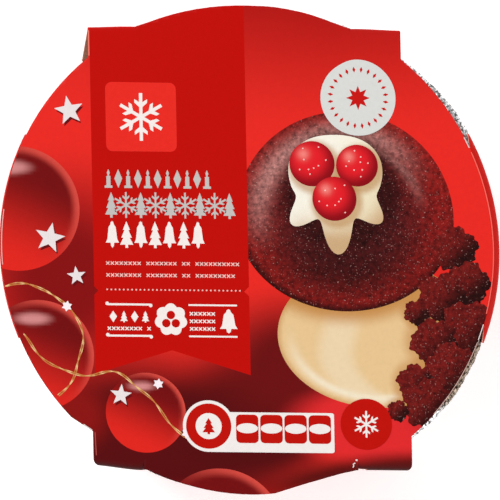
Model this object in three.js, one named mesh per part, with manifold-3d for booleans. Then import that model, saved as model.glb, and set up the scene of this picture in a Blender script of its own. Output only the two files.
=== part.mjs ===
// A christmas pudding pack, lying on its back: a round crimped foil dish held in a printed carton sleeve.
// Millimetres, +Z up out of the front panel, +Y towards the top of the print. The origin is on the
// ground under the middle of the pack.
import * as THREE from "three";
import { mergeVertices } from "three/addons/utils/BufferGeometryUtils.js";
import Module from "manifold-3d";

const DEGREE = Math.PI / 180;

// The sleeve's board. The pack is as deep as the walls of the sleeve are high.
const board = 0.5;
const packDepth = 46;

// Front panel: round wings left and right, and a band between them that folds over at top and bottom.
// The band is a little wider at the bottom, where its fold is also soft and round. Between the shoulders
// of each fold a curved flap, cut out of the wall, stays flat with the front panel. The top wall leans
// sideways on its way down. The right wing's middle is a little off, because its board is pulled tight.
const front = { wingRadius: 84.95, bandShift: 0.5 };
const leftWing = { x: 0, y: 0 };
const rightWing = { x: 0.3, y: 0.8 };
const topFold = { side: 1, at: 76.4, bandHalf: 53.8, radius: 1, flapRise: 8, lean: 5.5 };
const bottomFold = { side: -1, at: 75.4, bandHalf: 55, radius: 3.2, flapRise: 9, lean: 0 };
const flap = { half: 37, bentFrom: 8 };

// Back panel: the same form, smaller, because the walls lean in with the dish.
const back = { wingRadius: 79.5, bandHalf: 54, foldHalf: 68.9, freeEdge: 67.9, chamfer: 3 };
const glueFlap = { half: 46, depth: 12 };

// The sleeve was glued a little askew. Each number is the slide along that axis for a millimetre along
// the other.
const skew = { x: 0.0194, y: 0.0106 };

// End strips: the wings fold down over the rim along a curved crease, from one angle to another.
// The dish stands to the right, so the right strip bulges and the left one hangs almost flat.
const strip = { shoulder: 44.6, bulgeLow: 41.5, lap: 0.8 };
const rightStrip = { wing: rightWing, from: -21.8, to: 27.5, bulgeRadius: 87.1 };
const leftStrip = { wing: leftWing, from: 180 - 27.5, to: 180 + 21.5, bulgeRadius: 85.6 };

// Foil dish, standing a little to the right in the sleeve.
const dish = {
  x: 1.9, y: -0.4, bottom: 1.3, panelLift: 0.8, panelRadius: 50,
  footRadius: 57, baseRadius: 62, baseCorner: 4.2,
  wallTopRadius: 73.4, wallTop: 41.2, flangeRadius: 74.8, flangeUnder: 43.5, flangeTop: 44.1,
  beadRadius: 1.2, beadRise: 0.3, rimRadius: 85.2,
};
const beadMiddle = dish.flangeTop + dish.beadRise - dish.beadRadius;
const pleats = { count: 96, wallDepth: 1.1, wallUnevenness: 0.2, flangeDepth: 0.24, rimUnevenness: 0.35 };

// The rim is pressed in where the sleeve holds it, and dented where the bottom flap is bent off.
const rimPressedIn = 1.4;
const rimBehindBend = 0.5;
const rimRoom = 0.35;

const WING_SEGMENTS = 30;
const RING_SEGMENTS = 120;
const HOLE_SEGMENTS = 16;
const FOLD_SEGMENTS = 5;
const SNAP = 0.1;

const wasm = await Module();
wasm.setup();

// A closed three.js geometry as a solid that can be cut and joined.
function solidOf(geometry) {
  const bare = geometry.index ? geometry.toNonIndexed() : geometry.clone();
  bare.deleteAttribute("normal");
  bare.deleteAttribute("uv");
  const merged = mergeVertices(bare, 1e-3);
  return new wasm.Manifold(new wasm.Mesh({
    numProp: 3,
    vertProperties: merged.attributes.position.array,
    triVerts: new Uint32Array(merged.index.array),
  }));
}

// A solid back as a three.js geometry.
function geometryOf(solid) {
  const mesh = solid.getMesh();
  const geometry = new THREE.BufferGeometry();
  geometry.setAttribute("position", new THREE.BufferAttribute(mesh.vertProperties, 3));
  geometry.setIndex(new THREE.BufferAttribute(mesh.triVerts, 1));
  geometry.computeVertexNormals();
  return geometry;
}

// A flat outline in XY, raised from z = low to z = high.
function plate(outline, low, high) {
  const geometry = new THREE.ExtrudeGeometry(outline, {
    depth: high - low, bevelEnabled: false, curveSegments: WING_SEGMENTS,
  });
  return solidOf(geometry.translate(0, 0, low));
}

// A section of [radius, height] points turned round the Z axis.
function turned(section, segments) {
  const geometry = new THREE.LatheGeometry(section.map(([r, z]) => new THREE.Vector2(r, z)), segments);
  return geometry.rotateX(Math.PI / 2);
}

// Where a wing's circle meets the edge of the band, above (side 1) or below (side -1) its middle.
function wingMeets(wing, radius, x, side) {
  const up = side * Math.sqrt(radius ** 2 - (x - wing.x) ** 2);
  return { y: wing.y + up, turn: Math.atan2(up, x - wing.x) };
}

// A flap's arc runs through both its ends on the fold line and its highest point.
function flapArc({ at, flapRise }) {
  const radius = (flap.half ** 2 + flapRise ** 2) / (2 * flapRise);
  const centre = at + flapRise - radius;
  return { radius, centre, start: Math.atan2(at - centre, flap.half) };
}
const topArc = flapArc(topFold);
const bottomArc = flapArc(bottomFold);

// The bottom flap is bent off along a straight line at its right end.
const bendStart = -Math.acos(flap.bentFrom / bottomArc.radius);
const bendFrom = new THREE.Vector2(flap.bentFrom, bottomArc.radius * Math.sin(bendStart) - bottomArc.centre);
const bendTo = new THREE.Vector2(flap.half, -bottomFold.at);

function frontOutline() {
  const { wingRadius, bandShift } = front;
  const [topRight, topLeft] = [bandShift + topFold.bandHalf, bandShift - topFold.bandHalf];
  const [lowRight, lowLeft] = [bandShift + bottomFold.bandHalf, bandShift - bottomFold.bandHalf];
  const startRight = wingMeets(rightWing, wingRadius, lowRight, -1);
  const endRight = wingMeets(rightWing, wingRadius, topRight, 1);
  const startLeft = wingMeets(leftWing, wingRadius, topLeft, 1);
  const endLeft = wingMeets(leftWing, wingRadius, lowLeft, -1);
  const topShoulder = topFold.at - topFold.radius;
  const bottomShoulder = bottomFold.radius - bottomFold.at;
  const outline = new THREE.Shape();
  outline.moveTo(lowRight, bottomShoulder);
  outline.lineTo(lowRight, startRight.y);
  outline.absarc(rightWing.x, rightWing.y, wingRadius, startRight.turn, endRight.turn, false);
  outline.lineTo(topRight, topShoulder);
  outline.lineTo(flap.half, topShoulder);
  outline.absarc(0, topArc.centre, topArc.radius, topArc.start, Math.PI - topArc.start, false);
  outline.lineTo(-flap.half, topShoulder);
  outline.lineTo(topLeft, topShoulder);
  outline.lineTo(topLeft, startLeft.y);
  outline.absarc(leftWing.x, leftWing.y, wingRadius, startLeft.turn, 2 * Math.PI + endLeft.turn, false);
  outline.lineTo(lowLeft, bottomShoulder);
  outline.lineTo(-flap.half, bottomShoulder);
  outline.absarc(
    0, -bottomArc.centre, bottomArc.radius, Math.PI + bottomArc.start, 2 * Math.PI + bendStart, false);
  outline.lineTo(bendTo.x, bendTo.y);
  outline.lineTo(flap.half, bottomShoulder);
  return outline;
}

function backOutline() {
  const { wingRadius, bandHalf, foldHalf, freeEdge, chamfer } = back;
  const highRight = wingMeets(rightWing, wingRadius, bandHalf, 1);
  const lowRight = wingMeets(rightWing, wingRadius, bandHalf, -1);
  const highLeft = wingMeets(leftWing, wingRadius, -bandHalf, 1);
  const outline = new THREE.Shape();
  outline.moveTo(bandHalf, -foldHalf);
  outline.lineTo(bandHalf, lowRight.y);
  outline.absarc(rightWing.x, rightWing.y, wingRadius, lowRight.turn, highRight.turn, false);
  outline.lineTo(bandHalf, freeEdge - chamfer);
  outline.lineTo(bandHalf - chamfer, freeEdge);
  outline.lineTo(chamfer - bandHalf, freeEdge);
  outline.lineTo(-bandHalf, freeEdge - chamfer);
  outline.lineTo(-bandHalf, highLeft.y);
  outline.absarc(leftWing.x, leftWing.y, wingRadius, highLeft.turn, 2 * Math.PI - highLeft.turn, false);
  outline.lineTo(-bandHalf, -foldHalf);
  return outline;
}

function glueFlapOutline() {
  const low = back.foldHalf - glueFlap.depth;
  const middle = front.bandShift - topFold.lean;
  const outline = new THREE.Shape();
  outline.moveTo(middle - glueFlap.half, low);
  outline.lineTo(middle + glueFlap.half, low);
  outline.lineTo(middle + topFold.bandHalf, back.foldHalf);
  outline.lineTo(middle - topFold.bandHalf, back.foldHalf);
  return outline;
}

// The wall below a fold, from its section in YZ, as it stands on the +Y side.
function wall(fold) {
  const outer = fold.at;
  const inner = outer - board;
  const under = packDepth - board;
  const bendAt = outer - fold.radius;
  const bendLow = packDepth - fold.radius;
  const section = new THREE.Shape();
  section.moveTo(back.foldHalf, 0);
  section.lineTo(outer, bendLow);
  section.quadraticCurveTo(outer, packDepth, bendAt, packDepth);
  section.lineTo(bendAt - 2 * board, packDepth);
  section.lineTo(bendAt - 2 * board, under);
  section.lineTo(Math.min(bendAt, inner), under);
  section.quadraticCurveTo(inner, under, inner, Math.min(bendLow, under));
  section.lineTo(back.foldHalf - board, 0);
  const geometry = new THREE.ExtrudeGeometry(section, {
    depth: 2 * fold.bandHalf, bevelEnabled: false, curveSegments: FOLD_SEGMENTS,
  });
  geometry.translate(0, 0, fold.side * front.bandShift - fold.bandHalf);
  const sectionToYZ = new THREE.Matrix4().makeBasis(
    new THREE.Vector3(0, 1, 0), new THREE.Vector3(0, 0, 1), new THREE.Vector3(1, 0, 0));
  const sideways = new THREE.Matrix4().set(
    1, 0, fold.lean / packDepth, -fold.lean,
    0, 1, 0, 0,
    0, 0, 1, 0,
    0, 0, 0, 1);
  geometry.applyMatrix4(sectionToYZ).applyMatrix4(sideways);
  return solidOf(geometry).subtract(flapHole(fold));
}

// The hole that the curved flap leaves in a wall, from the fold down.
function flapHole(fold) {
  const { radius, start } = flapArc(fold);
  const hole = new THREE.Shape();
  const above = packDepth + board;
  const centre = packDepth - fold.flapRise + radius;
  hole.moveTo(flap.half, above);
  hole.lineTo(-flap.half, above);
  hole.lineTo(-flap.half, packDepth);
  hole.absarc(0, centre, radius, Math.PI + start, 2 * Math.PI - start, false);
  const geometry = new THREE.ExtrudeGeometry(hole, {
    depth: fold.at, bevelEnabled: false, curveSegments: HOLE_SEGMENTS,
  });
  // Turned upright it runs towards -Y, so it starts outside the wall.
  return solidOf(geometry.rotateX(Math.PI / 2).translate(0, fold.at + packDepth, 0));
}

// The room that the dish's rim takes up where it pokes through the walls.
function rimSlot() {
  const half = dish.beadRadius + rimRoom;
  const inside = back.foldHalf;
  const outside = dish.rimRadius + rimRoom;
  const section = [
    [inside, beadMiddle - half], [outside, beadMiddle - half], [outside, beadMiddle + half],
    [inside, beadMiddle + half], [inside, beadMiddle - half],
  ];
  return solidOf(turned(section, RING_SEGMENTS).translate(dish.x, dish.y, 0));
}

// An end strip: a ring of its section, cut to the angles that it spans.
function endStrip({ wing, from, to, bulgeRadius }) {
  const { shoulder, bulgeLow, lap } = strip;
  const inner = bulgeRadius - board;
  const section = [
    [front.wingRadius - lap, packDepth - board], [front.wingRadius - board, packDepth - board],
    [inner, shoulder - board / 2], [inner, bulgeLow], [back.wingRadius - board, 0], [back.wingRadius, 0],
    [bulgeRadius, bulgeLow], [bulgeRadius, shoulder], [front.wingRadius, packDepth],
    [front.wingRadius - lap, packDepth], [front.wingRadius - lap, packDepth - board],
  ];
  const far = 2 * bulgeRadius;
  const sector = new THREE.Shape();
  sector.moveTo(0, 0);
  sector.lineTo(far * Math.cos(from * DEGREE), far * Math.sin(from * DEGREE));
  sector.lineTo(far * Math.cos(to * DEGREE), far * Math.sin(to * DEGREE));
  const ring = solidOf(turned(section, RING_SEGMENTS));
  return ring.intersect(plate(sector, -board, packDepth + board)).translate([wing.x, wing.y, 0]);
}

const askew = new THREE.Matrix4().set(
  1, -skew.x, 0, 0,
  -skew.y, 1, 0, 0,
  0, 0, 1, 0,
  0, 0, 0, 1);

function sleeve() {
  const walls = wall(topFold).add(wall(bottomFold).rotate([0, 0, 180]));
  const panels = [
    plate(frontOutline(), packDepth - board, packDepth),
    plate(backOutline(), 0, board),
    plate(glueFlapOutline(), board, 2 * board),
    endStrip(rightStrip),
    endStrip(leftStrip),
  ];
  const slottedWalls = walls.transform(askew.elements).subtract(rimSlot());
  return geometryOf(panels.reduce((all, panel) => all.add(panel.transform(askew.elements)), slottedWalls));
}

// An even spread of numbers from -1 to 1 that looks random, one for each whole number.
function uneven(index) {
  const wave = Math.sin(index * 12.9898) * 43758.5453;
  return 2 * (wave - Math.floor(wave)) - 1;
}

// Foil dish: a turned profile whose wall, flange and bead are then pleated column by column.
function foilDish() {
  const d = dish;
  const beadCentre = d.rimRadius - d.beadRadius;
  const beadInside = beadCentre - d.beadRadius;
  const bead = [-90, -45, 0, 45, 90].map((turn) => [
    beadCentre + d.beadRadius * Math.cos(turn * DEGREE),
    beadMiddle + d.beadRadius * Math.sin(turn * DEGREE),
  ]);
  const wallFoot = d.bottom + d.baseCorner;
  const wallRows = [0, 0.33, 0.66, 1].map((t) => [
    THREE.MathUtils.lerp(d.baseRadius, d.wallTopRadius, t), THREE.MathUtils.lerp(wallFoot, d.wallTop, t)]);
  const profile = [
    [0, d.bottom + d.panelLift], [d.panelRadius, d.bottom + d.panelLift], [d.panelRadius + 2, d.bottom],
    [d.footRadius, d.bottom], [d.baseRadius - 0.3 * d.baseCorner, d.bottom + 0.3 * d.baseCorner],
    ...wallRows, [d.flangeRadius, d.flangeUnder], [beadInside, d.flangeUnder], ...bead,
    [beadInside, d.flangeTop], [0, d.flangeTop],
  ];
  const columns = 2 * pleats.count;
  const geometry = turned(profile, columns);
  const place = geometry.attributes.position;
  for (let i = 0; i < place.count; i++) {
    const x = place.getX(i);
    const y = place.getY(i);
    const z = place.getZ(i);
    const radius = Math.hypot(x, y);
    const column = Math.round((Math.atan2(y, x) / (2 * Math.PI) + 1) * columns) % columns;
    const fold = column % 2 ? -0.5 : 0.5;
    let out = 0;
    let up = 0;
    if (radius > d.baseRadius - SNAP && z < d.wallTop + SNAP) {
      out = fold * pleats.wallDepth * (1 - pleats.wallUnevenness * (1 - uneven(column)));
    } else if (radius > beadInside - SNAP) {
      const pressed = rimPressedIn * Math.abs(Math.cos(2 * Math.atan2(y, x)));
      out = pleats.rimUnevenness * 0.5 * (uneven(column) - 1) - pressed;
      up = fold * pleats.flangeDepth * (radius > beadInside + SNAP ? 0.5 : 1);
    }
    if (radius > 0) {
      const stretch = 1 + out / radius;
      const behind = behindBend(d.x + x * stretch, d.y + y * stretch);
      place.setXYZ(i, behind.x, behind.y, z + up);
    }
  }
  return geometry;
}

// A place in plan, moved in where it would stick out past the bent end of the bottom flap.
function behindBend(x, y) {
  const [from, to] = [bendFrom, bendTo].map((end) => (
    new THREE.Vector2(end.x - skew.x * end.y, end.y - skew.y * end.x)));
  const along = to.clone().sub(from).normalize();
  const outward = new THREE.Vector2(along.y, -along.x);
  const place = new THREE.Vector2(x, y);
  const beyond = place.clone().sub(from).dot(outward) + rimBehindBend;
  return beyond > 0 && y < 0 ? place.addScaledVector(outward, -beyond) : place;
}

function mesh(name, geometry, color, roughness, metalness) {
  const made = new THREE.Mesh(geometry, new THREE.MeshStandardMaterial({ color, roughness, metalness }));
  made.name = name;
  return made;
}

// The origin is under the middle of the outer box, which the right strip's bulge moves to the right.
const pack = new THREE.Group();
pack.position.x = (leftStrip.bulgeRadius - rightStrip.bulgeRadius - rightWing.x) / 2;
pack.add(mesh("sleeve", sleeve(), 0xc6140e, 0.5, 0));
pack.add(mesh("foil_dish", foilDish(), 0xc9cbce, 0.32, 1));

export default pack;
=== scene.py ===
# A christmas pudding pack: a printed carton sleeve folded round a crimped foil dish, lying on its back.
from math import asin, atan2, ceil, cos, degrees, exp, floor, hypot, pi, radians, sin, sqrt
import bmesh
import bpy
from mathutils import Matrix, Vector, noise


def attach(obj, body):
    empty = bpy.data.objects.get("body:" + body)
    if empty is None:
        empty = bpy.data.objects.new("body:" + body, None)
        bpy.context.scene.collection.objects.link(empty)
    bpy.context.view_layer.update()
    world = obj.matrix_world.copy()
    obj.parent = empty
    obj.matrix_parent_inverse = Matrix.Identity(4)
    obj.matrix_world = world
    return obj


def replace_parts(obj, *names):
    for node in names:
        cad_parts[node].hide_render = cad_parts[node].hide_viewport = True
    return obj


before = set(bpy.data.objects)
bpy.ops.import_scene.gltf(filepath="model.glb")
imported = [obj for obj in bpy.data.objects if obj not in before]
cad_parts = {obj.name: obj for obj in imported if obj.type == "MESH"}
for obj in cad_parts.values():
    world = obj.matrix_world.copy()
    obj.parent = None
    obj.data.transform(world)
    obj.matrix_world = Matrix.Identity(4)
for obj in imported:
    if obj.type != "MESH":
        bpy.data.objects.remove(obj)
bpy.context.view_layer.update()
print("frame loaded")

mm = 0.001


# Helpers for meshes. Shapes are drawn in millimetres and made metres when they are finished.

def smoothStep(low, high, value):
    t = min(1, max(0, (value - low) / (high - low)))
    return t * t * (3 - 2 * t)


def swell(rows, place):  # a row: how much, then where it starts, is full, begins to fade and has ended
    return sum(much * smoothStep(start, full, place) * smoothStep(end, past, place)
               for much, start, full, past, end in rows)


def mixed(first, second, t):
    return tuple(a + (b - a) * t for a, b in zip(first, second))


def within(x, y, middle, radii):  # how far across and up a place lies in an ellipse
    return (x - middle[0]) / radii[0], (y - middle[1]) / radii[1]


def toLinear(hexColour):
    channels = [int(hexColour[i:i + 2], 16) / 255 for i in (1, 3, 5)]
    return tuple(c / 12.92 if c <= 0.04045 else ((c + 0.055) / 1.055) ** 2.4 for c in channels) + (1,)


def drawOutline(start, *moves):  # a move is a line to (x, y), or an arc (centre x, centre y, degrees)
    bm = bmesh.new()
    pen = bm.verts.new((*start, 0))
    for move in moves:
        if len(move) == 2:
            pen = bmesh.ops.extrude_vert_indiv(bm, verts=[pen])["verts"][0]
            pen.co = (*move, 0)
        else:
            x, y, turn = move
            arc = bmesh.ops.spin(bm, geom=[pen], cent=(x, y, 0), axis=(0, 0, 1), angle=radians(turn),
                                 steps=max(2, ceil(abs(turn) / 3)))
            pen = arc["geom_last"][0]
    bmesh.ops.remove_doubles(bm, verts=bm.verts[:], dist=0.01)
    bmesh.ops.contextual_create(bm, geom=bm.edges[:])
    bmesh.ops.recalc_face_normals(bm, faces=bm.faces[:])
    if bm.faces[:][0].normal.z < 0:
        bmesh.ops.reverse_faces(bm, faces=bm.faces[:])
    return bm


def cutLine(bm, point, normal, **keep):
    bmesh.ops.bisect_plane(bm, geom=bm.verts[:] + bm.edges[:] + bm.faces[:], dist=1e-4,
                           plane_co=point, plane_no=normal, **keep)


def cutAt(bm, axis, place):  # cuts at one x (axis 0) or at one y (axis 1)
    normal = Vector((axis == 0, axis == 1, 0))
    cutLine(bm, normal * place, normal)


def cutGrid(bm, step):
    for axis, normal in enumerate(((1, 0, 0), (0, 1, 0))):
        places = [v.co[axis] for v in bm.verts]
        for k in range(ceil(min(places) / step), floor(max(places) / step) + 1):
            cutLine(bm, Vector(normal) * k * step, normal)


def toMesh(name, bm):
    mesh = bpy.data.meshes.new(name)
    bm.to_mesh(mesh)
    bm.free()
    return mesh


def addTo(whole, piece):  # joins one bmesh to another and frees it
    joint = toMesh("joint", piece)
    whole.from_mesh(joint)
    bpy.data.meshes.remove(joint)


def addObject(name, data):
    thing = bpy.data.objects.new(name, data)
    bpy.context.scene.collection.objects.link(thing)
    return thing


# Flat shapes to print, each drawn face up around its middle

def placed(bm, x, y, turn=0, size=(1, 1)):
    bmesh.ops.scale(bm, vec=(*size, 1), verts=bm.verts[:])
    bmesh.ops.rotate(bm, matrix=Matrix.Rotation(radians(turn), 3, "Z"), verts=bm.verts[:])
    bmesh.ops.translate(bm, vec=(x, y, 0), verts=bm.verts[:])
    bm.normal_update()
    bmesh.ops.reverse_faces(bm, faces=[face for face in bm.faces if face.normal.z < 0])
    return bm


def disc(x, y, radius, size=(1, 1), segments=64):
    bm = bmesh.new()
    bmesh.ops.create_circle(bm, cap_ends=True, segments=segments, radius=radius)
    return placed(bm, x, y, size=size)


def blob(x, y, radiusAt, segments=120):  # a round shape whose radius follows a rule
    bm = bmesh.new()
    bmesh.ops.create_circle(bm, cap_ends=True, segments=segments, radius=1)
    for vert in bm.verts:
        vert.co *= radiusAt(atan2(vert.co.y, vert.co.x))
    return placed(bm, x, y)


def star(x, y, radius, points=5, waist=0.42, turn=90):
    bm = bmesh.new()
    ring = bmesh.ops.create_circle(bm, cap_ends=True, segments=2 * points, radius=radius)["verts"]
    bmesh.ops.rotate(bm, matrix=Matrix.Rotation(-atan2(ring[0].co.y, ring[0].co.x), 3, "Z"), verts=ring)
    bmesh.ops.scale(bm, vec=(waist, waist, 1), verts=ring[1::2])
    return placed(bm, x, y, turn)


def box(x, y, width, height, corner):
    bm = bmesh.new()
    bmesh.ops.create_grid(bm, x_segments=1, y_segments=1, size=0.5)
    bmesh.ops.scale(bm, vec=(width, height, 1), verts=bm.verts[:])
    bmesh.ops.bevel(bm, geom=bm.verts[:], offset=corner, affect="VERTICES", segments=4, profile=0.5,
                    material=-1)
    return placed(bm, x, y)


def figure(x, y, half, width, height, turn=0):  # both sides alike: half is its right side, from top to bottom
    left = [(-across, up) for across, up in reversed(half) if across > 0]
    points = half + left
    return placed(drawOutline(*points, points[0]), x, y, turn, (width, height))


def rosette(x, y, radius, arm, count, turn=0):  # one arm drawn upwards and repeated round the middle
    points = []
    for k in range(count):
        spin = Matrix.Rotation(2 * pi * k / count, 2)
        points += [tuple(spin @ Vector(point)) for point in arm]
    return placed(drawOutline(*points, points[0]), x, y, turn, (radius, radius))


def stroke(path, width):  # a line of ink along a route
    bm = bmesh.new()
    edge = None
    for k, point in enumerate(path):
        ahead = Vector(path[min(k + 1, len(path) - 1)]) - Vector(path[max(k - 1, 0)])
        side = Vector((-ahead.y, ahead.x)).normalized() * width / 2
        if edge is None:
            edge = bm.edges.new((bm.verts.new((0, 0, 0)), bm.verts.new((0, 0, 0))))
        else:
            edge = [part for part in bmesh.ops.extrude_edge_only(bm, edges=[edge])["geom"]
                    if isinstance(part, bmesh.types.BMEdge) and part.is_boundary
                    and edge.verts[0] not in part.verts and edge.verts[1] not in part.verts][0]
        for vert, way in zip(edge.verts, (-1, 1)):
            vert.co = (*(Vector(point) + way * side), 0)
    return placed(bm, 0, 0)


def trimRound(bm, radius, centre=(0, 0)):  # leaves what lies inside a circle
    for k in range(180):
        normal = Vector((cos(pi * k / 90), sin(pi * k / 90), 0))
        edge = Vector((*centre, 0)) + normal * radius
        if any((vert.co - edge).dot(normal) > 0 for vert in bm.verts):
            cutLine(bm, edge, normal, clear_outer=True)
    return bm


def finishPiece(name, bm, materials, smoothBelow=None):
    bmesh.ops.scale(bm, vec=(mm, mm, mm), verts=bm.verts[:])
    piece = addObject(name, toMesh(name, bm))
    for material in materials:
        piece.data.materials.append(material)
    if smoothBelow:
        piece.data.shade_smooth()
        piece.data.set_sharp_from_angle(angle=radians(smoothBelow))
    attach(piece, "root")
    return piece


# Materials

def addNode(material, kind, settings={}, values={}, links={}):
    tree = material.node_tree
    node = tree.nodes.new(kind)
    for key, value in settings.items():
        setattr(node, key, value)
    for key, value in values.items():
        node.inputs[key].default_value = value
    for key, source in links.items():
        tree.links.new(source, node.inputs[key])
    return node


def addNoise(material, vector, scale, detail, roughness=0.5):
    return addNode(material, "ShaderNodeTexNoise",
                   values={"Scale": scale, "Detail": detail, "Roughness": roughness},
                   links={"Vector": vector}).outputs["Fac"]


def addRange(material, value, low, high, start=0, end=1, ease="LINEAR"):
    values = {"From Min": start, "From Max": end, "To Min": low, "To Max": high}
    return addNode(material, "ShaderNodeMapRange", {"interpolation_type": ease}, values,
                   {"Value": value}).outputs["Result"]


def addRamp(material, factor, *stops):  # a stop is its place and its colour
    ramp = addNode(material, "ShaderNodeValToRGB", links={"Fac": factor})
    for element, (spot, colour) in zip(ramp.color_ramp.elements, stops):
        element.position = spot
        element.color = toLinear(colour)
    return ramp.outputs["Color"]


def addBump(material, height, distance, strength=1, links={}):  # distance in mm
    return addNode(material, "ShaderNodeBump", values={"Strength": strength, "Distance": distance * mm},
                   links={"Height": height, **links}).outputs["Normal"]


def addInk(material):
    return addNode(material, "ShaderNodeAttribute", {"attribute_name": "ink"}).outputs["Color"]


def addScaled(material, colour, amount):
    return addNode(material, "ShaderNodeVectorMath", {"operation": "SCALE"},
                   links={"Vector": colour, "Scale": amount}).outputs["Vector"]


def startMaterial(name, values):
    material = bpy.data.materials.new(name)
    material.use_nodes = True
    shader = material.node_tree.nodes["Principled BSDF"]
    for key, value in values.items():
        shader.inputs[key].default_value = value
    return material, shader


def finishMaterial(material, shader, sources):
    for key, source in sources.items():
        material.node_tree.links.new(source, shader.inputs[key])
    return material


printFinish = {
    "varnish": {"Roughness": 0.5, "IOR": 1.4, "Specular IOR Level": 0.12},  # water based satin varnish
    "strength": 0.79,  # how much of the light the inks return under the studio's bright lamps
    "mottle": 0.04,  # ink takes unevenly on board
    "mottleSize": 1.6, "boardFibre": 0.35, "fibreDepth": 0.05,  # mm
}


def makePrintedBoard():  # offset printed folding boxboard: flat ink, a soft satin sheen and faint mottling
    look = printFinish
    material, shader = startMaterial("printed_boxboard", look["varnish"])
    place = addNode(material, "ShaderNodeTexCoord").outputs["Object"]
    mottle = addNoise(material, place, 1 / (look["mottleSize"] * mm), 3)
    amount = addRange(material, mottle, look["strength"] - look["mottle"], look["strength"] + look["mottle"])
    fibre = addNoise(material, place, 1 / (look["boardFibre"] * mm), 2)
    return finishMaterial(material, shader, {
        "Base Color": addScaled(material, addInk(material), amount),
        "Normal": addBump(material, fibre, look["fibreDepth"], 0.05),
    })


bareFinish = {
    "inside": ("#BC7E5C", "#8C563C"), "cutEdge": ("#EDB3A6", "#DB8676"),  # light and dark fibres
    "fibres": (900, 2600, 1800), "fibreDepth": 0.05,  # how many in a metre, and mm
}


def makeBareBoard(name, light, dark):  # unprinted recycled board: matt, with a web of short fibres
    material, shader = startMaterial(name, {"Roughness": 0.85, "IOR": 1.5})
    place = addNode(material, "ShaderNodeTexCoord").outputs["Object"]
    stretch = addNode(material, "ShaderNodeMapping", values={"Scale": bareFinish["fibres"]},
                      links={"Vector": place})
    fibre = addNoise(material, stretch.outputs["Vector"], 1, 4, 0.6)
    return finishMaterial(material, shader, {
        "Base Color": addRamp(material, fibre, (0.35, dark), (0.65, light)),
        "Normal": addBump(material, fibre, bareFinish["fibreDepth"], 0.2),
    })


foilFinish = {
    # the dark colour is painted shade in the foil's tiny creases
    "bright": "#F1F2F4", "crease": "#55534F",
    "creaseSize": 1.2, "creaseDepth": 0.35,  # mm
    "calmBelow": (40.5, 43.5), "calm": 0.3,  # mm up the dish: the wall is creased less than the rim
}


def makeFoil():  # thin rolled aluminium foil: bright, with tiny pressed creases whose shade is painted in dark
    look = foilFinish
    material, shader = startMaterial("pressed_aluminium_foil", {"Metallic": 1, "Roughness": 0.3})
    place = addNode(material, "ShaderNodeTexCoord").outputs["Object"]
    crease = addNoise(material, place, 1 / (look["creaseSize"] * mm), 4, 0.65)
    # painted shade: where the crease noise is low, the foil's colour turns dark
    paintedCreaseShade = addRamp(material, crease, (0.42, look["crease"]), (0.53, look["bright"]))
    parts = addNode(material, "ShaderNodeSeparateXYZ", links={"Vector": place})
    low, high = look["calmBelow"]
    pressed = addRange(material, parts.outputs["Z"], look["calm"], 1, low * mm, high * mm)
    colour = addNode(material, "ShaderNodeMix", {"data_type": "RGBA"}, {"A": toLinear(look["bright"])},
                     {"Factor": pressed, "B": paintedCreaseShade})
    dulled = addNode(material, "ShaderNodeVectorMath", {"operation": "MULTIPLY"},
                      links={0: colour.outputs["Result"], 1: addInk(material)})
    return finishMaterial(material, shader, {
        "Base Color": dulled.outputs["Vector"],
        "Normal": addBump(material, crease, look["creaseDepth"], links={"Strength": pressed}),
    })


printedBoard = makePrintedBoard()
brownBoard = makeBareBoard("unprinted_brown_board", *bareFinish["inside"])
boardCore = makeBareBoard("cut_edge_of_board", *bareFinish["cutEdge"])
foil = makeFoil()
print("materials ready")


# The carton sleeve, all sizes in mm

carton = {
    "board": 0.5, "depth": 46, "wing": 84.95,
    # the folds aren't quite straight: "bows" says how far, and between which x, from "bowsFrom" of y outwards
    "top": {
        "side": 1, "fold": 76.4, "half": 54, "shift": 0.4, "radius": 1, "lean": 5.6, "rise": 8,
        "pulledIn": 0.2, "bowsFrom": (45, 72),
        "bows": ((0.4, -54, -40, -38, -32), (0.4, 32, 38, 40, 54), (0.25, 2, 12, 20, 34)),
    },
    "bottom": {
        "side": -1, "fold": 75.4, "half": 55, "shift": 0.6, "radius": 3.2, "lean": 0, "rise": 9,
        "pulledIn": 1.5, "bowsFrom": (-70.4, -74.5),
        "bows": ((0.4, -99, -98, -37.8, -36), (-1.7, -57, -37, -37.8, -36), (-0.3, -38, -36, -34, -20),
                 (0.35, 2, 20, 30, 36.5), (-0.45, 36, 38, 98, 99)),
    },
    "flapHalf": 37, "bentFrom": 8,
    "worn": (-136.7, -63.1),  # the left wing's edge runs straight from this angle to the band at this y
    "backWing": 79.5, "backHalf": 54, "backFold": 68.9, "backEdge": 67.9, "backChamfer": 3,
    "glueHalf": 46, "glueDepth": 12,
    "right": {"middle": (0.3, 0.8), "start": -21.8, "turn": 49.3, "bulge": 87.1},
    "left": {"middle": (0, 0), "start": 152.5, "turn": 49, "bulge": 85.6},
    # the strips' bent shoulder: how far out, as a share of the bulge, and how far down in mm
    "shoulder": ((0.35, 0.25), (0.7, 0.7), (0.92, 1.4), (1, 2.2), (1, 3.4), (1, 4.5)), "bulgeLow": 41.5,
    "slits": ((-17.6, -22.6), (24.4, 28.4)),  # degrees round the right wing, where its crease came apart
    "skew": (0.0194, 0.0106), "shift": -0.9,
    "grid": 1.2,  # how finely the printed front is divided for its soft colours
}
for fold in (carton["top"], carton["bottom"]):
    fold["flapRadius"] = (carton["flapHalf"] ** 2 + fold["rise"] ** 2) / (2 * fold["rise"])
    fold["flapCentre"] = fold["fold"] + fold["rise"] - fold["flapRadius"]
    fold["flapTurn"] = degrees(atan2(carton["flapHalf"], fold["fold"] - fold["flapCentre"]))


def slack(x, y):
    fold = carton["top" if y > 0 else "bottom"]
    return swell(fold["bows"], x) * smoothStep(*fold["bowsFrom"], y)


def netOf(bm):  # the layer that says where each vertex lies on the flat print
    return bm.verts.layers.float_vector.get("net") or bm.verts.layers.float_vector.new("net")


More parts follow.
